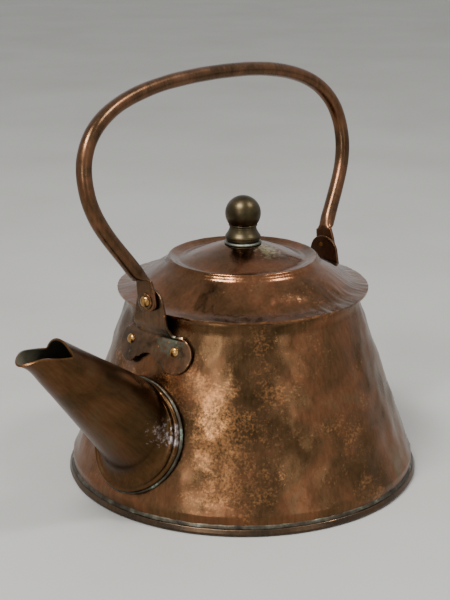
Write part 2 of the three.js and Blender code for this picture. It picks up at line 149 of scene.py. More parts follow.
def fadingBall(material, where, centre, radius):
    # one at a centre in mm, falling to nothing at the radius
    nearby = addNode(material, "ShaderNodeMapping", {
        "Vector": where, "Location": [part * mm for part in centre], "Scale": [radius * mm] * 3},
        vector_type="TEXTURE")
    return addNode(material, "ShaderNodeTexGradient", {"Vector": nearby.outputs["Vector"]},
                   gradient_type="SPHERICAL")


# Plain painted table top: matt, only a little uneven.
def matteTable():
    material, shader = newMaterial("matte_table")
    where = addNode(material, "ShaderNodeTexCoord").outputs["Object"]
    cloud = addNode(material, "ShaderNodeTexNoise", {
        "Vector": where, "Scale": perSize(160), "Detail": 3.0})
    tone = addNode(material, "ShaderNodeValToRGB", {"Fac": cloud.outputs["Fac"]},
                   stops=[(0.3, "#a4a29d"), (0.7, "#abaaa5")])
    material.node_tree.links.new(tone.outputs["Color"], shader.inputs["Base Color"])
    shader.inputs["Roughness"].default_value = 0.9
    shader.inputs["Specular IOR Level"].default_value = 0.2
    return material


# Copper, raised and planished by hammer, then oxidised brown over the years. The oxide film is thin, so the
# sheet still mirrors softly; rubbing and cleaning break it into bright grainy patches of bare copper.
def brownedCopper(name, tones):
    material, shader = newMaterial(name)
    where = addNode(material, "ShaderNodeTexCoord").outputs["Object"]
    film = addNode(material, "ShaderNodeTexNoise", {
        "Vector": where, "Scale": perSize(tones["filmSize"]), "Detail": 5.0, "Roughness": 0.62,
        "Distortion": 0.4})
    filmColour = addNode(material, "ShaderNodeValToRGB", {"Fac": film.outputs["Fac"]}, stops=[
        (0.30, tones["dark"]), (0.46, tones["middle"]), (0.58, tones["warm"]), (0.72, tones["light"])])

    # faint rubbing lines up and down the wall
    stretched = addNode(material, "ShaderNodeMapping", {
        "Vector": where, "Rotation": (0, tones["lean"], 0), "Scale": (1, 1, 16)}, vector_type="TEXTURE")
    lines = addNode(material, "ShaderNodeTexNoise", {
        "Vector": stretched.outputs["Vector"], "Scale": perSize(1.6), "Detail": 3.0, "Roughness": 0.6})
    lineTone = addNode(material, "ShaderNodeValToRGB", {"Fac": lines.outputs["Fac"]},
                       stops=[(0.35, "#c9c4bf"), (0.65, "#ffffff")])
    lined = addNode(material, "ShaderNodeMixRGB", {
        "Fac": 0.55, "Color1": filmColour.outputs["Color"], "Color2": lineTone.outputs["Color"]},
        blend_type="MULTIPLY")

    # worn patches: broad shapes, filled with fine grains of bare metal. Each rub raises them in a ball round
    # its centre. On the wall the rubs sit where the lamps' highlights fall, so there the bare grains are
    # partly wear and partly painted highlight
    patches = addNode(material, "ShaderNodeTexNoise", {
        "Vector": where, "Scale": perSize(tones["patchSize"]), "Detail": 4.0, "Roughness": 0.6})
    wearAndHighlight = patches
    for centre, radius, gain in tones["rubsAndHighlights"]:
        rubAndHighlight = fadingBall(material, where, centre, radius)
        wearAndHighlight = addNode(material, "ShaderNodeMath", {
            0: rubAndHighlight.outputs["Fac"], 1: gain, 2: wearAndHighlight.outputs[0]}, operation="MULTIPLY_ADD")
    grains = addNode(material, "ShaderNodeTexNoise", {
        "Vector": where, "Scale": perSize(1.5), "Detail": 3.0, "Roughness": 0.75})
    both = addNode(material, "ShaderNodeMath", {
        0: wearAndHighlight.outputs[0], 1: grains.outputs["Fac"]}, operation="ADD")
    bare = addNode(material, "ShaderNodeMapRange", {
        "Value": both.outputs[0], "From Min": tones["bareFrom"], "From Max": tones["bareFrom"] + 0.30,
        "To Max": tones["bareMost"]})
    wornAndHighlighted = addNode(material, "ShaderNodeMixRGB", {
        "Fac": bare.outputs["Result"], "Color1": lined.outputs["Color"], "Color2": linear(tones["bare"])})

    # corners and edges are rubbed bright
    corner = addNode(material, "ShaderNodeMapRange", {
        "Value": addNode(material, "ShaderNodeNewGeometry").outputs["Pointiness"],
        "From Min": 0.53, "From Max": 0.60, "To Max": tones["edges"]})
    wornAndHighlighted = addNode(material, "ShaderNodeMixRGB", {
        "Fac": corner.outputs["Result"], "Color1": wornAndHighlighted.outputs["Color"], "Color2": linear(tones["bare"])})

    # dark pits and a little green in the film
    spots = addNode(material, "ShaderNodeTexNoise", {
        "Vector": where, "Scale": perSize(4.5), "Detail": 4.0, "Roughness": 0.7})
    pits = addNode(material, "ShaderNodeMapRange", {
        "Value": spots.outputs["Fac"], "From Min": 0.62, "From Max": 0.74, "To Max": tones["pits"]})
    final = addNode(material, "ShaderNodeMixRGB", {
        "Fac": pits.outputs["Result"], "Color1": wornAndHighlighted.outputs["Color"], "Color2": linear(tones["pit"])})
    # a splash of another colour in a ragged ball: on the lid a pale stain, on the bracket verdigris, and on
    # the spout a light grey smear painted where the flange's highlight falls, partly tinned solder and partly
    # painted highlight
    if "splashAndHighlight" in tones:
        centre, radius, splashAndHighlightColour, share = tones["splashAndHighlight"]
        blots = addNode(material, "ShaderNodeTexNoise", {
            "Vector": where, "Scale": perSize(radius / 6), "Detail": 4.0, "Roughness": 0.7})
        fading = fadingBall(material, where, centre, radius)
        ragged = addNode(material, "ShaderNodeMath", {
            0: fading.outputs["Fac"], 1: 0.45, 2: blots.outputs["Fac"]}, operation="MULTIPLY_ADD")
        splashedAndHighlighted = addNode(material, "ShaderNodeMapRange", {
            "Value": ragged.outputs[0], "From Min": 0.70, "From Max": 0.88, "To Max": share})
        final = addNode(material, "ShaderNodeMixRGB", {
            "Fac": splashedAndHighlighted.outputs["Result"], "Color1": final.outputs["Color"],
            "Color2": linear(splashAndHighlightColour)})
    material.node_tree.links.new(final.outputs["Color"], shader.inputs["Base Color"])

    gloss = addNode(material, "ShaderNodeMapRange", {
        "Value": film.outputs["Fac"], "From Min": 0.3, "From Max": 0.7,
        "To Min": tones["roughness"] - 0.06, "To Max": tones["roughness"] + 0.09})
    material.node_tree.links.new(gloss.outputs["Result"], shader.inputs["Roughness"])
    shader.inputs["Metallic"].default_value = 1.0
    texture = addNode(material, "ShaderNodeBump", {
        "Height": grains.outputs["Fac"], "Strength": tones["grain"], "Distance": 0.12 * mm})
    planish = addNode(material, "ShaderNodeBump", {
        "Height": spots.outputs["Fac"], "Strength": 0.35, "Distance": 0.12 * mm,
        "Normal": texture.outputs["Normal"]})
    material.node_tree.links.new(planish.outputs["Normal"], shader.inputs["Normal"])
    return material


# Tones of the film from dark to light. Sizes and places are in millimetres: filmSize and patchSize are how
# broad its clouds and the worn patches are, each rub is a centre, a radius and a gain, and a splash is a
# centre, a radius, a colour and how much of it covers. The wall's rubs gather bare grains where the
# highlights fall, so they are partly painted highlight. The spout's light splash is partly a painted
# highlight too.
bodyTones = {
    "dark": "#4b3824", "middle": "#654a32", "warm": "#7a5238", "light": "#715c42", "bare": "#bd8454",
    "pit": "#3b3a26", "filmSize": 34, "patchSize": 20, "bareFrom": 1.12, "bareMost": 0.75, "pits": 0.5,
    "edges": 0.3, "lean": 0, "roughness": 0.28, "grain": 0.5,
    # the two rubs sit where the lamps' highlights fall on the wall: the bare grains there are partly wear,
    # partly painted highlight
    "rubsAndHighlights": [((74, 44, 46), 50, 0.22), ((36, 73, 64), 30, 0.12)],
}
lidTones = dict(bodyTones, rubsAndHighlights=[((12, 56, 110), 34, 0.14)], filmSize=26, dark="#563e29", middle="#6c4c34",
                warm="#7f543a", light="#795d42", roughness=0.17, bareFrom=1.2,
                splashAndHighlight=((-2, 15, 127.5), 15, "#b3a67e", 0.8))
# the spout's splash is a light grey smear on the flange's right side, painted where its bright highlight
# falls: partly solder, partly painted highlight
spoutTones = dict(bodyTones, dark="#3b2d1b", middle="#4d3822", warm="#5f4129", light="#5a4a34", rubsAndHighlights=[],
                  roughness=0.30, bareFrom=1.26, bareMost=0.35, edges=0.12, lean=math.radians(46.9),
                  splashAndHighlight=((88, 31, 50), 17, "#a89c99", 0.85))
bracketTones = dict(spoutTones, dark="#413428", middle="#5b4735", warm="#6d513d", light="#675643",
                    filmSize=12, patchSize=9, roughness=0.30, bareFrom=1.2, bareMost=0.5, pit="#5f7366",
                    edges=0.75, lean=0,
                    splashAndHighlight=((69, 13, 92), 14, "#5b7064", 0.45))
handleTones = dict(bodyTones, dark="#4b3625", middle="#5d4532", warm="#714f39", light="#685341",
                   filmSize=20, rubsAndHighlights=[], roughness=0.27, bareFrom=1.27, bareMost=0.4)
baseTones = dict(bodyTones, dark="#3c3128", middle="#4d4034", warm="#574434", light="#5a4e42", rubsAndHighlights=[],
                 bareFrom=1.25)
rivetTones = dict(bodyTones, dark="#7a5a2e", middle="#a37a42", warm="#b58a54", light="#c49d66",
                  bare="#e0bb84", filmSize=3, patchSize=3, rubsAndHighlights=[], roughness=0.24)


# Turned brass gone olive with age: fine lathe lines round it, a soft polish from handling.
def agedBrass():
    material, shader = newMaterial("aged_brass")
    where = addNode(material, "ShaderNodeTexCoord").outputs["Object"]
    film = addNode(material, "ShaderNodeTexNoise", {"Vector": where, "Scale": perSize(9), "Detail": 4.0})
    tone = addNode(material, "ShaderNodeValToRGB", {"Fac": film.outputs["Fac"]},
                   stops=[(0.35, "#352e20"), (0.55, "#453c2a"), (0.72, "#574c39")])
    material.node_tree.links.new(tone.outputs["Color"], shader.inputs["Base Color"])
    upright = addNode(material, "ShaderNodeMapping", {"Vector": where, "Scale": (0.03, 0.03, 1.0)})
    lathe = addNode(material, "ShaderNodeTexNoise", {
        "Vector": upright.outputs["Vector"], "Scale": perSize(0.55), "Detail": 2.0})
    ridges = addNode(material, "ShaderNodeBump", {
        "Height": lathe.outputs["Fac"], "Strength": 0.3, "Distance": 0.05 * mm})
    material.node_tree.links.new(ridges.outputs["Normal"], shader.inputs["Normal"])
    shader.inputs["Metallic"].default_value = 1.0
    shader.inputs["Roughness"].default_value = 0.37
    return material


# Soft solder, run in by hand and gone dull: grey, with blue-green copper carbonate where damp sat.
def dullSolder(name, dark, middle, light):
    material, shader = newMaterial(name)
    where = addNode(material, "ShaderNodeTexCoord").outputs["Object"]
    film = addNode(material, "ShaderNodeTexNoise", {
        "Vector": where, "Scale": perSize(9), "Detail": 5.0, "Roughness": 0.65})
    tone = addNode(material, "ShaderNodeValToRGB", {"Fac": film.outputs["Fac"]}, stops=[
        (0.34, dark), (0.50, middle), (0.62, light), (0.74, "#86a191")])
    material.node_tree.links.new(tone.outputs["Color"], shader.inputs["Base Color"])
    dull = addNode(material, "ShaderNodeMapRange", {
        "Value": film.outputs["Fac"], "From Min": 0.6, "From Max": 0.72, "To Min": 0.9, "To Max": 0.2})
    material.node_tree.links.new(dull.outputs["Result"], shader.inputs["Metallic"])
    lumps = addNode(material, "ShaderNodeTexNoise", {"Vector": where, "Scale": perSize(1.3), "Detail": 3.0})
    rough = addNode(material, "ShaderNodeBump", {
        "Height": lumps.outputs["Fac"], "Strength": 0.6, "Distance": 0.2 * mm})
    material.node_tree.links.new(rough.outputs["Normal"], shader.inputs["Normal"])
    shader.inputs["Roughness"].default_value = 0.48
    return material


# The wetted inside: old tinning and hard-water scale, nearly black-green and matt.
def scaledInside():
    material, shader = newMaterial("scaled_inside")
    where = addNode(material, "ShaderNodeTexCoord").outputs["Object"]
    film = addNode(material, "ShaderNodeTexNoise", {"Vector": where, "Scale": perSize(14), "Detail": 5.0})
    tone = addNode(material, "ShaderNodeValToRGB", {"Fac": film.outputs["Fac"]},
                   stops=[(0.35, "#23241c"), (0.55, "#3a382b"), (0.72, "#55503f")])
    material.node_tree.links.new(tone.outputs["Color"], shader.inputs["Base Color"])
    crust = addNode(material, "ShaderNodeBump", {
        "Height": film.outputs["Fac"], "Strength": 0.5, "Distance": 0.4 * mm})
    material.node_tree.links.new(crust.outputs["Normal"], shader.inputs["Normal"])
    shader.inputs["Metallic"].default_value = 0.5
    shader.inputs["Roughness"].default_value = 0.6
    return material


def smoothStep(low, high, value):
    t = min(max((value - low) / (high - low), 0.0), 1.0)
    return t * t * (3 - 2 * t)


def outlineMesh(points, closed=False, corner=0.0, spacing=0.0):
    # a line in the XZ plane from [radius, height] pairs in mm; corners rounded, long runs split
    bm = bmesh.new()
    verts = [bm.verts.new((r * mm, 0, z * mm)) for r, z in points]
    for start, end in zip(verts, verts[1:] + (verts[:1] if closed else [])):
        bm.edges.new((start, end))
    if corner:
        ends = [v for v in bm.verts if len(v.link_edges) == 2 and v.co.x > 1e-6]
        bmesh.ops.bevel(bm, geom=ends, offset=corner * mm, segments=3, profile=0.5, affect="VERTICES",
                        material=-1, clamp_overlap=True)
    if spacing:
        for edge in list(bm.edges):
            cuts = int(edge.calc_length() / (spacing * mm))
            if cuts:
                bmesh.ops.subdivide_edges(bm, edges=[edge], cuts=cuts)
    return bm


def spun(points, steps=96, closed=False, corner=0.0, spacing=0.0):
    # a turned shape about the Z axis
    bm = outlineMesh(points, closed, corner, spacing)
    bmesh.ops.spin(bm, geom=bm.verts[:] + bm.edges[:], cent=(0, 0, 0), axis=(0, 0, 1),
                   angle=2 * math.pi, steps=steps, use_merge=True)
    bmesh.ops.remove_doubles(bm, verts=bm.verts, dist=1e-6)
    bmesh.ops.recalc_face_normals(bm, faces=bm.faces)
    return bm


def faceOutwards(bm):
    # on an open sheet: the highest face has to look up
    bmesh.ops.recalc_face_normals(bm, faces=bm.faces)
    if max(bm.faces, key=lambda face: face.calc_center_median().z).normal.z < 0:
        bmesh.ops.reverse_faces(bm, faces=bm.faces)


def dented(bm, dents):
    # pushes points inwards along their normals, in soft overlapping hammer marks
    bm.normal_update()
    moves = []
    for vert in bm.verts:
        point = vert.co / mm
        broad = noise.noise(point / dents["broadSize"]) * 0.5 + 0.5
        cells = noise.voronoi(point / dents["markSize"])[0][0]
        depth = dents["broadDepth"] * broad + dents["markDepth"] * (1 - min(cells * cells, 1.0))
        moves.append((vert, vert.normal * (-depth * mm * dents["where"](point))))
    for vert, move in moves:
        vert.co += move


def kept(name, bm, materials, body, nodes, sharp=38, modifiers=()):
    # the finished piece: it rides on its body and stands for its CAD nodes
    mesh = bpy.data.meshes.new(name)
    bm.to_mesh(mesh)
    bm.free()
    for material in materials:
        mesh.materials.append(material)
    mesh.shade_smooth()
    mesh.set_sharp_from_angle(angle=math.radians(sharp))
    piece = bpy.data.objects.new(name, mesh)
    bpy.context.scene.collection.objects.link(piece)
    for kind, settings in modifiers:
        modifier = piece.modifiers.new(kind.lower(), kind)
        for key, value in settings.items():
            setattr(modifier, key, value)
    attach(piece, body)
    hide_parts(*nodes)
    print("made", name, len(mesh.polygons), "faces")
    return piece


def sheetModifiers(thickness, inside=0, edge=0.0, even=True):
    solid = ("SOLIDIFY", {"thickness": thickness * mm, "offset": -1.0, "use_even_offset": even,
                          "material_offset": inside, "material_offset_rim": 0})
    rounded = ("BEVEL", {"width": edge * mm, "segments": 3, "limit_method": "ANGLE",
                         "angle_limit": math.radians(50), "use_clamp_overlap": True})
    return (solid, rounded) if edge else (solid,)


def nodeBox(node):
    # lowest and highest corner of a CAD node, in mm
    return [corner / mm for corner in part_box(node)]


bodyLow, bodyHigh = nodeBox("body_shell")
wall = {
    "foot": 97.1, "footTop": 3.9, "turn": 10.0, "startRadius": bodyHigh.x, "topRadius": 64.2,
    "top": bodyHigh.z, "bottom": bodyLow.z, "mouth": 56.0, "sheet": 1.2, "shoulder": 1.2, "steps": 320,
    "holeFrom": -24, "holeTo": 26, "holeInset": 2.1,
    "dentsFrom": 5, "dentsFull": 16, "dentsFade": 98, "dentsEnd": 104,
}
wallSlope = (wall["startRadius"] - wall["topRadius"]) / (wall["top"] - wall["turn"])
wallTilt = math.atan(wallSlope)


def wallRadius(height):
    if height >= wall["turn"]:
        return wall["startRadius"] - wallSlope * (height - wall["turn"])
    spread = smoothStep(wall["footTop"], wall["turn"], height)
    return wall["foot"] + (wall["startRadius"] - wall["foot"]) * spread


def wallNormal(angle):
    level = math.cos(wallTilt)
    return Vector((math.cos(angle) * level, math.sin(angle) * level, math.sin(wallTilt)))


def wallPoint(angle, height):
    return Vector((wallRadius(height) * math.cos(angle), wallRadius(height) * math.sin(angle), height))


def settled(point, direction, lift):
    # the point in mm, slid along a direction until it stands that far off the wall
    for _ in range(6):  # each slide comes nearer, because the wall is curved
        away = (math.hypot(point.x, point.y) - wallRadius(point.z)) * math.cos(wallTilt)
        facing = direction.dot(wallNormal(math.atan2(point.y, point.x)))
        point = point + direction * ((lift - away) / max(facing, 0.25))
    return point


def standing(place, direction):
    # from a shape turned about Z to its place, pointing along a direction
    return Matrix.Translation(place * mm) @ direction.to_track_quat("Z", "Y").to_matrix().to_4x4()


def makeBody(copper, inside):
    bm = spun([
        (wall["foot"], wall["bottom"]),
        (wall["foot"], wall["footTop"]),
        (wall["startRadius"], wall["turn"]),
        (wallRadius(wall["top"] - wall["shoulder"]), wall["top"] - wall["shoulder"]),
        (wall["topRadius"] - wall["shoulder"], wall["top"]),
        (wall["mouth"], wall["top"]),
    ], steps=wall["steps"], corner=0.8, spacing=2.0)
    dented(bm, {
        "broadSize": 15.0, "broadDepth": 1.9, "markSize": 9.5, "markDepth": 0.6,
        "where": lambda p: (smoothStep(wall["dentsFrom"], wall["dentsFull"], p.z)
                            * (1 - smoothStep(wall["dentsFade"], wall["dentsEnd"], p.z))),
    })
    piece = kept("hammered_body", bm, [copper, inside], "kettle_body", ["body_shell"],
                 modifiers=sheetModifiers(wall["sheet"], inside=1))
    cutSpoutHole(piece)


def cutSpoutHole(piece):
    # the spout's own tube, a little smaller, cuts the hole it pours through
    bm = spoutTube(wall["holeFrom"], wall["holeTo"], inset=wall["holeInset"])
    bmesh.ops.holes_fill(bm, edges=bm.edges, sides=0)
    bmesh.ops.recalc_face_normals(bm, faces=bm.faces)
    mesh = bpy.data.meshes.new("cutter")
    bm.to_mesh(mesh)
    bm.free()
    cutter = bpy.data.objects.new("cutter", mesh)
    bpy.context.scene.collection.objects.link(cutter)
    hole = piece.modifiers.new("spout_hole", "BOOLEAN")
    hole.operation = "DIFFERENCE"
    hole.solver = "EXACT"
    hole.object = cutter
    shown = piece.evaluated_get(bpy.context.evaluated_depsgraph_get())
    cut = bpy.data.meshes.new_from_object(shown)
    piece.modifiers.clear()
    piece.data = cut
    bpy.data.objects.remove(cutter)


spout = {
    "angle": 43.1, "rootHeight": 42.7, "rootInset": 4.7, "rootRadius": 22.6, "taper": 0.1426, "end": 115,
    "hoodReach": 47.9, "lipHeight": 101.0, "lipSlope": 0.17, "sheet": 1.1, "sides": 112, "rings": 46,
    "flangeHeight": 42.1, "flangeSheet": 1.7, "flangeInner": 27.2, "flangeRadius": 30.4, "flare": 8.5,
    "droopFrom": 149, "droop": 0.036, "flareSteps": 10, "dentsFrom": 100, "dentsFull": 112,
    "border": [(0.22, 2.0), (0.46, 2.6), (0.75, 2.7), (0.93, 2.3), (1.0, 1.5), (1.0, 0.5)],
}
spoutAngle = math.radians(spout["angle"])
spoutDirection = Vector((math.cos(spoutAngle), 0, math.sin(spoutAngle)))
spoutRoot = Vector((wallRadius(spout["rootHeight"]) - spout["rootInset"], 0, spout["rootHeight"]))
flangeCentre = wallPoint(0, spout["flangeHeight"])
flangeNormal = wallNormal(0)


def spoutTube(start, end, inset=0.0):
    # a stretch of the tapered tube, open at both ends
    radii = [spout["rootRadius"] - spout["taper"] * along - inset for along in (start, end)]
    bm = bmesh.new()
    bmesh.ops.create_cone(bm, cap_ends=False, segments=spout["sides"], radius1=radii[0] * mm,
                          radius2=radii[1] * mm, depth=(end - start) * mm)
    bmesh.ops.translate(bm, verts=bm.verts, vec=(0, 0, (start + end) / 2 * mm))
    bmesh.ops.transform(bm, matrix=standing(spoutRoot, spoutDirection), verts=bm.verts)
    return bm


def flangePoint(point, reach, lift):
    # the point over the wall in the same direction from the flange's centre
    across = point - flangeCentre
    across -= flangeNormal * across.dot(flangeNormal)
    return settled(flangeCentre + across.normalized() * reach, flangeNormal, lift)


def makeSpout(copper, inside):
    bm = spoutTube(0, spout["end"])
    rootRing = [v for v in bm.verts if (v.co / mm - spoutRoot).dot(spoutDirection) < spout["end"] / 2]
    edges = [e for e in bm.edges if all(v in rootRing for v in e.verts)]
    corners = {v: settled(v.co / mm, spoutDirection, spout["flangeSheet"]) for v in rootRing}
    for vert in rootRing:
        vert.co = settled(vert.co / mm, spoutDirection, spout["flare"]) * mm
    starts = {v: v.co / mm for v in rootRing}

    # the flange: the root flares out over the wall, rises to a rolled border and turns down
    flared = [i / spout["flareSteps"] for i in range(1, spout["flareSteps"] + 1)]
    for step in flared + spout["border"]:
        spread = bmesh.ops.extrude_edge_only(bm, edges=edges)["geom"]
        edges = [g for g in spread if isinstance(g, bmesh.types.BMEdge)]
        ring = {g for g in spread if isinstance(g, bmesh.types.BMVert)}
        for vert in ring:
            source = next(e.other_vert(vert) for e in vert.link_edges if e.other_vert(vert) not in ring)
            start, corner = starts[source], corners[source]
            starts[vert], corners[vert] = start, corner
            inner = max((corner - flangeCentre).length + 0.2, spout["flangeInner"])
            if step in flared:
                end = flangePoint(corner, inner, spout["flangeSheet"])
                point = start * (1 - step) ** 2 + corner * 2 * step * (1 - step) + end * step ** 2
            else:
                out, lift = step
                point = flangePoint(corner, inner + (spout["flangeRadius"] - inner) * out, lift)
            vert.co = point * mm
    longEdges = [e for e in bm.edges if e.calc_length() > 40 * mm]
    bmesh.ops.subdivide_edges(bm, edges=longEdges, cuts=spout["rings"], use_grid_fill=False)

    # the hood ends upright; past it the tube is cut away above the lip
    hoodX = wallRadius(spout["rootHeight"]) + spout["hoodReach"]
    lipPlace = Vector((hoodX, 0, spout["lipHeight"]))
    lipNormal = Vector((-spout["lipSlope"], 0, 1)).normalized()
    for normal in (Vector((1, 0, 0)), lipNormal):
        bmesh.ops.bisect_plane(bm, geom=bm.verts[:] + bm.edges[:] + bm.faces[:], dist=1e-6,
                               plane_co=lipPlace * mm, plane_no=normal)
    cutAway = []
    for face in bm.faces:
        out = face.calc_center_median() / mm - lipPlace
        if out.x > 0 and out.dot(lipNormal) > 0:
            cutAway.append(face)
    bmesh.ops.delete(bm, geom=cutAway, context="FACES")

    # the lip droops towards its tip, and the tube is a little uneven
    for vert in bm.verts:
        past = vert.co.x / mm - spout["droopFrom"]
        if past > 0:
            vert.co.z -= spout["droop"] * past * past * mm
    faceOutwards(bm)
    dented(bm, {
        "broadSize": 15.0, "broadDepth": 0.35, "markSize": 8.0, "markDepth": 0.08,
        "where": lambda p: smoothStep(spout["dentsFrom"], spout["dentsFull"], p.x),
    })
    kept("pouring_spout", bm, [copper, inside], "kettle_body", ["spout"],
         modifiers=sheetModifiers(spout["sheet"], inside=1, edge=0.25, even=False))


spoutBead = {"radius": 0.75, "reach": 30.8, "raise": 0.35, "lumps": 0.45, "lumpSize": 5.0, "grit": 0.2,
             "gritSize": 1.7, "wander": 0.012, "sides": 12, "steps": 160}


def makeSpoutBead(solder):
    # a run of solder round the flange, thicker in places
    bm = bmesh.new()
    upright = Matrix.Rotation(math.pi / 2, 4, "X")
    bmesh.ops.create_circle(bm, segments=spoutBead["sides"], radius=spoutBead["radius"] * mm,
                            matrix=Matrix.Translation((spoutBead["reach"] * mm, 0, 0)) @ upright)
    bmesh.ops.spin(bm, geom=bm.verts[:] + bm.edges[:], cent=(0, 0, 0), axis=(0, 0, 1),
                   angle=2 * math.pi, steps=spoutBead["steps"], use_merge=True)
    bmesh.ops.recalc_face_normals(bm, faces=bm.faces)
    bm.normal_update()
    up = Vector((-math.sin(wallTilt), 0, math.cos(wallTilt)))
    for vert in bm.verts:
        point = vert.co / mm
        lift = point.z + spoutBead["raise"]
        lump = spoutBead["lumps"] * noise.noise(point / spoutBead["lumpSize"])
        lump += spoutBead["grit"] * noise.noise(point / spoutBead["gritSize"])
        wander = 1 + lump * spoutBead["wander"]
        flat = flangeCentre + Vector((0, point.x, 0)) * wander + up * point.y * wander
        vert.co = settled(flat, flangeNormal, lift * (1 + lump)) * mm
    bmesh.ops.recalc_face_normals(bm, faces=bm.faces)
    kept("spout_root_bead", bm, [solder], "kettle_body", ["spout_solder"], sharp=80)


foldedBase = {"sheet": 1.4, "fold": 2.6, "wave": 0.16, "waveSize": 13.0, "ripple": 0.06, "rippleSize": 4.0,
              "rise": 0.14, "riseSize": 9.0}


def makeBase(copper):
    high = nodeBox("base_pan")[1]
    edge, top = high.x, high.z
    bm = spun([
        (0, 0), (edge - 1.3, 0), (edge - 0.25, 0.5), (edge, 1.5), (edge - 0.45, 2.3), (edge - 0.8, 3.1),
        (edge - 1.2, top), (edge - 2.1, top), (edge - 2.55, top - 0.4),
        (edge - foldedBase["fold"], foldedBase["sheet"]), (0, foldedBase["sheet"]),
    ], steps=wall["steps"], corner=0.25)
    for vert in bm.verts:
        point = vert.co / mm
        reach = math.hypot(point.x, point.y)
        if reach > edge - 3 and point.z > 0.2:
            wave = noise.noise(point / foldedBase["waveSize"]) * foldedBase["wave"]
            wave += noise.noise(point / foldedBase["rippleSize"]) * foldedBase["ripple"]
            rise = noise.noise(point / foldedBase["riseSize"] + Vector((5, 0, 0))) * foldedBase["rise"]
            vert.co += Vector((point.x, point.y, 0)).normalized() * wave * mm
            vert.co.z += rise * mm * smoothStep(foldedBase["sheet"], 3.6, point.z)
    kept("folded_base", bm, [copper], "kettle_body", ["base_pan"])


seamBead = {"bottom": 3.55, "top": 5.6, "level": 4.5, "overlap": 0.25, "lumps": 0.34, "lumpSize": 6.0,
            "grit": 0.18, "gritSize": 1.8, "steps": 400}


def makeSeamBead(solder):
    # solder run into the groove between the wall's foot and the folded edge
    bottom, top = seamBead["bottom"], seamBead["top"]
    inner = wallRadius(seamBead["level"]) - seamBead["overlap"]
    bm = spun([
        (inner, bottom), (inner + 1.6, bottom), (inner + 1.5, bottom + 0.5), (inner + 0.9, top - 0.6),
        (inner + 0.35, top), (inner, top - 0.2),
    ], steps=seamBead["steps"], closed=True, corner=0.2)
    bm.normal_update()
    moves = []
    for vert in bm.verts:
        point = vert.co / mm
        lump = seamBead["lumps"] * noise.noise(point / seamBead["lumpSize"])
        lump += seamBead["grit"] * noise.noise(point / seamBead["gritSize"])
        moves.append((vert, vert.normal * lump * mm))
    for vert, move in moves:
        vert.co += move
    kept("base_seam_bead", bm, [solder], "kettle_body", ["base_seam_solder"], sharp=80)


bracket = {
    "sheet": 1.8, "lift": 2.1, "earRadius": 10.0, "earCentre": 110.8, "earOutside": 72.7, "strapHalf": 13.2,
    "strapFoot": 95.0, "bend": 101.0, "lobeSpread": 17.0, "lobeHeight": 86.0, "lobeRadius": 9.2,
    "archRadius": 8.8, "archHeight": 75.9, "halfWidth": 27, "bottom": 76, "top": 121, "grid": 0.8,
    "creaseHeight": 94.2, "creaseDepth": 0.7, "creaseWidth": 0.8, "uneven": 0.12, "unevenSize": 6.0,
    "voxel": 0.33, "smoothing": 6,
}


def arc(centre, radius, start, end, steps):
    # points on a circle, degrees, both ends included
    turns = [math.radians(start + (end - start) * i / steps) for i in range(steps + 1)]
    return [(centre[0] + radius * math.cos(t), centre[1] + radius * math.sin(t)) for t in turns]


def bracketOutline():
    # one half from the top of the ear, round the lobe, to the top of the arch; then its mirror image
    ear = arc((0, bracket["earCentre"]), bracket["earRadius"], 90, 4, 16)
    lobe = arc((bracket["lobeSpread"], bracket["lobeHeight"]), bracket["lobeRadius"], 104, -148, 34)
    arch = arc((0, bracket["archHeight"]), bracket["archRadius"], 42, 90, 9)
    half = ear + [(bracket["strapHalf"], bracket["strapFoot"] + 0.6)] + lobe + arch
    return half + [(-y, z) for y, z in reversed(half[1:-1])]


def bracketFace(y, z):
    # how far out the bracket's outer face stands
    onWall = settled(Vector((70, y, z)), Vector((1, 0, 0)), bracket["lift"]).x
    crease = bracket["creaseDepth"] * math.exp(-((z - bracket["creaseHeight"]) / bracket["creaseWidth"]) ** 2)
    rise = smoothStep(bracket["strapFoot"] - 2, bracket["bend"], z)
    return onWall + (bracket["earOutside"] - onWall) * rise - crease


def makeBracket(name, node, copper, turn):
    # the flat outline is cut into a fine grid, bent over the wall, and turned to its side of the kettle
    bm = bmesh.new()
    bm.faces.new([bm.verts.new((0, y * mm, z * mm)) for y, z in bracketOutline()])
    across = (1, -bracket["halfWidth"], bracket["halfWidth"])
    upwards = (2, bracket["bottom"], bracket["top"])
    for axis, low, high in (across, upwards):
        normal = [0, 0, 0]
        normal[axis] = 1
        for i in range(int((high - low) / bracket["grid"])):
            place = [0, 0, 0]
            place[axis] = (low + (i + 0.5) * bracket["grid"]) * mm
            bmesh.ops.bisect_plane(bm, geom=bm.verts[:] + bm.edges[:] + bm.faces[:], dist=1e-6,
                                   plane_co=place, plane_no=normal)
    for vert in bm.verts:
        y, z = vert.co.y / mm, vert.co.z / mm
        uneven = bracket["uneven"] * noise.noise(Vector((turn, y, z)) / bracket["unevenSize"])
        vert.co.x = (bracketFace(y, z) + uneven) * mm
    bm.normal_update()
    if sum(face.normal.x for face in bm.faces) < 0:
        bmesh.ops.reverse_faces(bm, faces=bm.faces)
    bmesh.ops.rotate(bm, verts=bm.verts, cent=(0, 0, 0), matrix=Matrix.Rotation(turn, 3, "Z"))
    rounding = (("REMESH", {"mode": "VOXEL", "voxel_size": bracket["voxel"] * mm}),
                ("SMOOTH", {"factor": 0.5, "iterations": bracket["smoothing"]}))
    kept(name, bm, [copper], "kettle_body", [node],
         modifiers=sheetModifiers(bracket["sheet"]) + rounding)


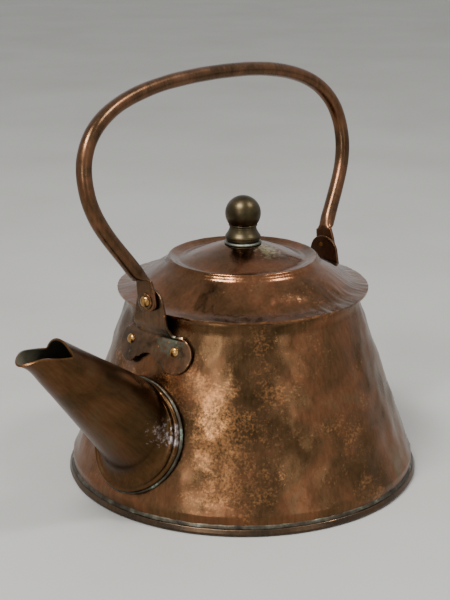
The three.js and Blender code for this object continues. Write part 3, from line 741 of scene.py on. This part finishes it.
rivet = {"height": 87.7, "spread": 16.0, "radius": 2.0, "headRadius": 2.8, "headHeight": 1.9, "seat": 2.0,
         "washerRadius": 4.2, "washerTop": -1.4, "washerSheet": 0.8, "tailRadius": 3.0, "tailHeight": 1.3,
         "gap": 0.1}
pivot = {"height": 113.7, "inside": 70.9, "radius": 2.4, "headRadius": 3.1, "headHeight": 1.9, "seat": 4.95,
         "tailRadius": 3.6, "tailHeight": 0.05, "tailTop": 1.3, "washerRadius": 4.6, "washerSheet": 0.75,
         "gap": 0.1}


def dome(radius, height, base, steps=7):
    # a low dome's outline from its edge to its top
    turns = [i / steps * math.pi / 2 for i in range(steps + 1)]
    return [(radius * math.cos(t), base + height * math.sin(t)) for t in turns[:-1]] + [(0, base + height)]


def ringOutline(hole, edge, low, high):
    # the four corners of a flat ring's section
    return [(hole, low), (edge, low), (edge, high), (hole, high)]


def makeTurned(name, node, outline, material, place, direction, body="kettle_body", closed=False,
               steps=48, corner=0.15):
    bm = spun(outline, steps=steps, closed=closed, corner=corner)
    bmesh.ops.transform(bm, matrix=standing(place, direction), verts=bm.verts)
    kept(name, bm, [material], body, [node])


def makeBracketRivets(bright, copper):
    low, high = rivet["washerTop"] - rivet["washerSheet"], rivet["washerTop"]
    tail = dome(rivet["tailRadius"], -rivet["tailHeight"], low)
    outline = list(reversed(tail)) + [(rivet["radius"], low), (rivet["radius"], rivet["seat"])]
    outline += dome(rivet["headRadius"], rivet["headHeight"], rivet["seat"])
    swing = rivet["spread"] / wallRadius(rivet["height"])
    for end, facing in (("front", 0.0), ("rear", math.pi)):
        for side, turn in (("left", swing), ("right", -swing)):
            place, normal = wallPoint(facing + turn, rivet["height"]), wallNormal(facing + turn)
            makeTurned(f"{end}_bracket_rivet_{side}_head", f"{end}_bracket_rivet_{side}", outline, bright,
                       place, normal, corner=0)
            makeTurned(f"{end}_bracket_washer_{side}_ring", f"{end}_bracket_washer_{side}",
                       ringOutline(rivet["radius"] + rivet["gap"], rivet["washerRadius"], low, high), copper,
                       place, normal, closed=True)


def makePivots(bright, copper):
    seat, tail = pivot["seat"], pivot["tailHeight"]
    outline = [(0, tail), (pivot["tailRadius"], tail)]
    outline += [(pivot["radius"], pivot["tailTop"]), (pivot["radius"], seat)]
    outline += dome(pivot["headRadius"], pivot["headHeight"], seat)
    hole, edge = pivot["radius"] + pivot["gap"], pivot["washerRadius"]
    washer = ringOutline(hole, edge, seat - pivot["washerSheet"], seat)
    for end, facing in (("front", 0.0), ("rear", math.pi)):
        out = Vector((math.cos(facing), math.sin(facing), 0))
        place = out * pivot["inside"] + Vector((0, 0, pivot["height"]))
        makeTurned(f"{end}_pivot_rivet_head", f"{end}_pivot_rivet", outline, bright,
                   place, out, corner=0)
        makeTurned(f"{end}_pivot_washer_ring", f"{end}_pivot_washer", washer, copper,
                   place, out, closed=True)


handle = {
    "pivotHeight": 113.7, "tilt": 12.0, "radius": 4.25, "inside": 73.0, "flat": 2.2, "endWidth": 13.0,
    "endDrop": 5.6, "corner": 4.2, "barStart": 13.6, "halfSpan": 102.7, "widest": 65.0, "rise": 111.3,
    "sides": 32, "endStations": 8, "growStations": 5, "risingStations": 22, "archingStations": 42,
    "endSquare": 5.0, "growSquare": 2.6, "barSquare": 2.2, "flare": 1.2, "leanOut": 14, "leanUp": 21,
    "below": 19, "above": 39.6, "crown": 50, "dentsFrom": 14, "dentsFull": 24,
}


def bezier(points, t):
    # a point and direction on a cubic curve
    a, b, c, d = [Vector(p) for p in points]
    u = 1 - t
    place = a * u ** 3 + b * 3 * u * u * t + c * 3 * u * t * t + d * t ** 3
    along = (b - a) * u * u + (c - b) * 2 * u * t + (d - c) * t * t
    return place, along.normalized()


def handleStations():
    # centre (x, rise), direction, half width, half thickness and squareness, from the end up to the grip
    stations = []
    radius, flat = handle["radius"], handle["flat"] / 2
    halfEnd, corner = handle["endWidth"] / 2, handle["corner"]
    for i in range(handle["endStations"] + 1):
        turn = i / handle["endStations"] * math.pi / 2
        rise = -handle["endDrop"] + corner * (1 - math.cos(turn))
        width = halfEnd - corner + corner * math.sin(turn)
        stations.append(((handle["inside"] + flat, rise), (0, 1), width, flat, handle["endSquare"]))
    for rise in (1.0, 4.0, 6.5, 8.5, 10.0, 10.7):
        width = halfEnd + (radius + handle["flare"] - halfEnd) * smoothStep(3, 13, rise)
        stations.append(((handle["inside"] + flat, rise), (0, 1), width, flat, handle["endSquare"]))
    for i in range(1, handle["growStations"] + 1):
        grow = i / handle["growStations"]
        thick = flat + (radius - flat) * grow
        width = radius + handle["flare"] * (1 - grow) * 0.9
        rise = 10.9 + 2.2 * grow * grow
        square = handle["endSquare"] - handle["growSquare"] * grow
        stations.append(((handle["inside"] + thick, rise), (0, 1), width, thick, square))
    start, span, wide = handle["inside"] + radius, handle["halfSpan"], handle["widest"]
    foot = handle["barStart"]
    rising = [(start, foot), (start + handle["leanOut"], foot + handle["leanUp"]),
              (span, wide - handle["below"]), (span, wide)]
    arching = [(span, wide), (span, wide + handle["above"]),
               (handle["crown"], handle["rise"]), (0, handle["rise"])]
    for curve, count in ((rising, handle["risingStations"]), (arching, handle["archingStations"])):
        for i in range(1, count + 1):
            place, along = bezier(curve, i / count)
            stations.append((tuple(place), tuple(along), radius, radius, handle["barSquare"]))
    return stations


def makeHandle(copper):
    bm = bmesh.new()
    ring = bmesh.ops.create_circle(bm, segments=handle["sides"], radius=1.0)["verts"]
    turns = [math.atan2(v.co.y, v.co.x) for v in ring]
    edges = bm.edges[:]
    bmesh.ops.contextual_create(bm, geom=ring)
    for station, ((x, rise), (dx, dz), width, thick, square) in enumerate(handleStations()):
        if station:
            made = bmesh.ops.extrude_edge_only(bm, edges=edges)["geom"]
            newRing = [g for g in made if isinstance(g, bmesh.types.BMVert)]
            edges = [g for g in made if isinstance(g, bmesh.types.BMEdge)
                     and all(v in newRing for v in g.verts)]
            ring = newRing
        for vert, turn in zip(ring, turns):
            c, s = math.cos(turn), math.sin(turn)
            across = width * math.copysign(abs(c) ** (2 / square), c)
            out = thick * math.copysign(abs(s) ** (2 / square), s)
            vert.co = Vector((x + out * dz, across, rise - out * dx)) * mm
    for vert in ring:
        vert.co.x = 0.0
    bmesh.ops.mirror(bm, geom=bm.verts[:] + bm.edges[:] + bm.faces[:], axis="X", merge_dist=1e-5)
    bmesh.ops.remove_doubles(bm, verts=bm.verts, dist=1e-6)
    bmesh.ops.recalc_face_normals(bm, faces=bm.faces)
    dented(bm, {
        "broadSize": 16.0, "broadDepth": 0.3, "markSize": 9.0, "markDepth": 0.12,
        "where": lambda p: smoothStep(handle["dentsFrom"], handle["dentsFull"], p.z),
    })
    leaning = Matrix.Rotation(math.radians(handle["tilt"]), 3, "X")
    bmesh.ops.rotate(bm, verts=bm.verts, cent=(0, 0, 0), matrix=leaning)
    bmesh.ops.translate(bm, verts=bm.verts, vec=(0, 0, handle["pivotHeight"] * mm))
    kept("swinging_handle", bm, [copper], "handle", ["bail_handle"], sharp=50)


lid = {
    "sheet": 1.2, "brim": 70.2, "brimHeight": 106.9, "crest": 41.0, "crestHeight": 123.9, "pad": 11.3,
    "padHeight": 130.4, "hole": 2.7, "ringRadius": 55.4, "steps": 300, "ringSteps": 160,
    "creased": math.radians(80), "creases": 27, "creaseLength": 9, "creaseDepth": 0.40, "ragged": 0.18,
    "fineSize": 6.5, "fineDepth": 0.16, "waves": 4.5, "waveHeight": 0.32,
    "fineFrom": 12, "fineFull": 20, "creasesFrom": 46, "creasesFull": 62, "wavesFrom": 64, "wavesFull": 70,
}


def lidLine():
    # from the brim's edge up to the crest, over it and in to the pad
    band, rise = lid["brim"] - lid["crest"], lid["crestHeight"] - lid["brimHeight"]
    brim = [(1.0, 0.0), (0.753, 0.06), (0.58, 0.21), (0.34, 0.52), (0.12, 0.77), (0.05, 0.91), (0.0, 1.0)]
    knots = [(lid["crest"] + band * out, lid["brimHeight"] + rise * up) for out, up in brim]
    knots += [(lid["crest"] - 4, lid["crestHeight"] - 1.5), (lid["crest"] - 7.5, lid["crestHeight"] - 1.7),
              ((lid["crest"] + lid["pad"]) / 2 - 2, (lid["crestHeight"] + lid["padHeight"]) / 2 - 1.2),
              (lid["pad"], lid["padHeight"])]
    return smoothLine(knots, 8) + [(lid["hole"], lid["padHeight"])]


def smoothLine(knots, steps):
    # a smooth curve through points
    line = []
    padded = [knots[0]] + knots + [knots[-1]]
    for before, start, end, after in zip(padded, padded[1:], padded[2:], padded[3:]):
        for i in range(steps):
            t = i / steps
            line.append(tuple(0.5 * (2 * s + (e - b) * t + (2 * b - 5 * s + 4 * e - a) * t * t
                                     + (3 * s - b - 3 * e + a) * t ** 3)
                              for b, s, e, a in zip(before, start, end, after)))
    return line + [knots[-1]]


def makeLid(copper, inside):
    bm = spun(lidLine(), steps=lid["steps"])
    bm.normal_update()
    moves = []
    for vert in bm.verts:
        point = vert.co / mm
        reach, turn = math.hypot(point.x, point.y), math.atan2(point.y, point.x)
        brim = smoothStep(lid["creasesFrom"], lid["creasesFull"], reach)
        # short radial creases of the planishing hammer, and a wavy edge
        creased = Vector((math.cos(turn) * lid["creases"], math.sin(turn) * lid["creases"],
                          reach / lid["creaseLength"]))
        waved = Vector((math.cos(turn) * lid["waves"], math.sin(turn) * lid["waves"], 3))
        crease, wave = noise.noise(creased), noise.noise(waved)
        fine = noise.noise(point / lid["fineSize"])
        edge = smoothStep(lid["wavesFrom"], lid["wavesFull"], reach)
        side = 0.25 + 0.75 * max(math.cos(turn - lid["creased"]), 0)
        bump = lid["creaseDepth"] * side * crease * brim
        bump += lid["fineDepth"] * fine * smoothStep(lid["fineFrom"], lid["fineFull"], reach)
        raised = Vector((0, 0, lid["waveHeight"] * wave * edge * mm))
        outward = Vector((point.x, point.y, 0)).normalized() * (lid["ragged"] * crease * edge * mm)
        moves.append((vert, vert.normal * bump * mm + raised + outward))
    for vert, move in moves:
        vert.co += move
    kept("hat_lid", bm, [copper, inside], "lid", ["lid_cover"],
         modifiers=sheetModifiers(lid["sheet"], inside=1, edge=0.2))


def makeLidRing(copper):
    low, high = nodeBox("lid_ring")
    outer, inner = lid["ringRadius"], lid["ringRadius"] - lid["sheet"]
    bm = spun([(outer, low.z), (outer, high.z), (inner, high.z), (inner, low.z)], steps=lid["ringSteps"],
              closed=True, corner=0.3)
    kept("lid_seating_ring", bm, [copper], "lid", ["lid_ring"])


knob = {
    "hole": 2.7, "holeDepth": 9.7, "ball": 9.9, "line": 7.9, "steps": 112,
    # radius and height above the foot: two steps, the waist, and the fine line cut under the ball
    "turning": [(8.6, 0), (9.3, 0.3), (9.55, 0.9), (9.45, 1.25), (9.8, 1.5), (9.95, 2.1), (9.8, 2.7),
                (9.3, 3.4), (8.5, 4.5), (7.85, 5.8), (7.5, 7.1), (7.5, 8.0), (7.35, 8.2), (7.5, 8.35),
                (7.95, 8.45), (8.05, 8.8), (7.9, 9.15), (7.75, 9.2)],
    "collarRadius": 10.35, "collarSteps": 96, "washerRadius": 6.0, "washerSteps": 64,
    "screwRadius": 2.4, "headRadius": 4.5, "headFace": 3.7, "headHeight": 2.5, "slot": 0.7, "slotDepth": 0.9,
}


def makeKnob(brass):
    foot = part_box("knob")[0].z / mm
    ball, ballCentre = knob["ball"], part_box("knob")[1].z / mm - knob["ball"]
    lineTop = ballCentre - math.sqrt(ball ** 2 - knob["line"] ** 2)
    start = math.degrees(math.asin((lineTop - ballCentre) / ball))
    profile = [(0, foot + knob["holeDepth"]), (knob["hole"], foot + knob["holeDepth"]), (knob["hole"], foot)]
    profile += [(radius, foot + up) for radius, up in knob["turning"]]
    profile += arc((0, ballCentre), ball, start + 1.5, 89.0, 30) + [(0, ballCentre + ball)]
    bm = spun(profile, steps=knob["steps"])
    kept("turned_knob", bm, [brass], "lid", ["knob"], sharp=60)


def makeKnobFixings(brass, solder):
    # the collar under the knob, and the washer and screw that hold it from inside the lid
    axis = Vector((0, 0, 1))
    low, high = nodeBox("knob_collar")
    edge = knob["collarRadius"]
    makeTurned("knob_collar_ring", "knob_collar",
               [(knob["hole"], low.z), (edge, low.z), (edge + 0.05, high.z - 0.4), (edge - 0.45, high.z),
                (knob["hole"], high.z)], solder,
               Vector(), axis, body="lid", closed=True, steps=knob["collarSteps"],
               corner=0.25)
    low, high = nodeBox("knob_washer")
    makeTurned("knob_washer_ring", "knob_washer",
               ringOutline(knob["hole"], knob["washerRadius"], low.z, high.z), brass,
               Vector(), axis, body="lid", closed=True, steps=knob["washerSteps"])
    low, high = nodeBox("knob_screw")
    slotTop, headTop = low.z + knob["slotDepth"], low.z + knob["headHeight"]
    screw = [(0, slotTop), (knob["slot"], slotTop), (knob["slot"], low.z), (knob["headFace"], low.z),
             (knob["headRadius"], slotTop), (knob["headRadius"], headTop), (knob["screwRadius"], headTop),
             (knob["screwRadius"], high.z), (0, high.z)]
    makeTurned("knob_screw_turned", "knob_screw", screw, brass, Vector(), axis, body="lid",
               corner=0.1)


makeCamera()
for box in softboxes:
    makeLight(box)
makeRoom(matteTable())
print("camera, lights and floor ready")

bodyCopper = brownedCopper("browned_copper_body", bodyTones)
lidCopper = brownedCopper("browned_copper_lid", lidTones)
spoutCopper = brownedCopper("browned_copper_spout", spoutTones)
bracketCopper = brownedCopper("browned_copper_bracket", bracketTones)
handleCopper = brownedCopper("browned_copper_handle", handleTones)
baseCopper = brownedCopper("browned_copper_base", baseTones)
rivetCopper = brownedCopper("rubbed_copper_rivet", rivetTones)
knobBrass = agedBrass()
seamSolder = dullSolder("dull_solder_seam", "#2b2720", "#443e33", "#5b5a4e")
collarSolder = dullSolder("dull_solder_collar", "#4b493f", "#6c6d62", "#8a8f83")
darkInside = scaledInside()
print("materials ready")

makeBody(bodyCopper, darkInside)
makeBase(baseCopper)
makeSeamBead(seamSolder)
makeSpout(spoutCopper, darkInside)
makeSpoutBead(seamSolder)
makeBracket("front_bracket_plate", "front_bracket", bracketCopper, 0.0)
makeBracket("rear_bracket_plate", "rear_bracket", bracketCopper, math.pi)
makeBracketRivets(rivetCopper, bracketCopper)
makePivots(rivetCopper, bracketCopper)
makeHandle(handleCopper)
makeLid(lidCopper, darkInside)
makeLidRing(lidCopper)
makeKnob(knobBrass)
makeKnobFixings(knobBrass, collarSolder)
print("all pieces made")
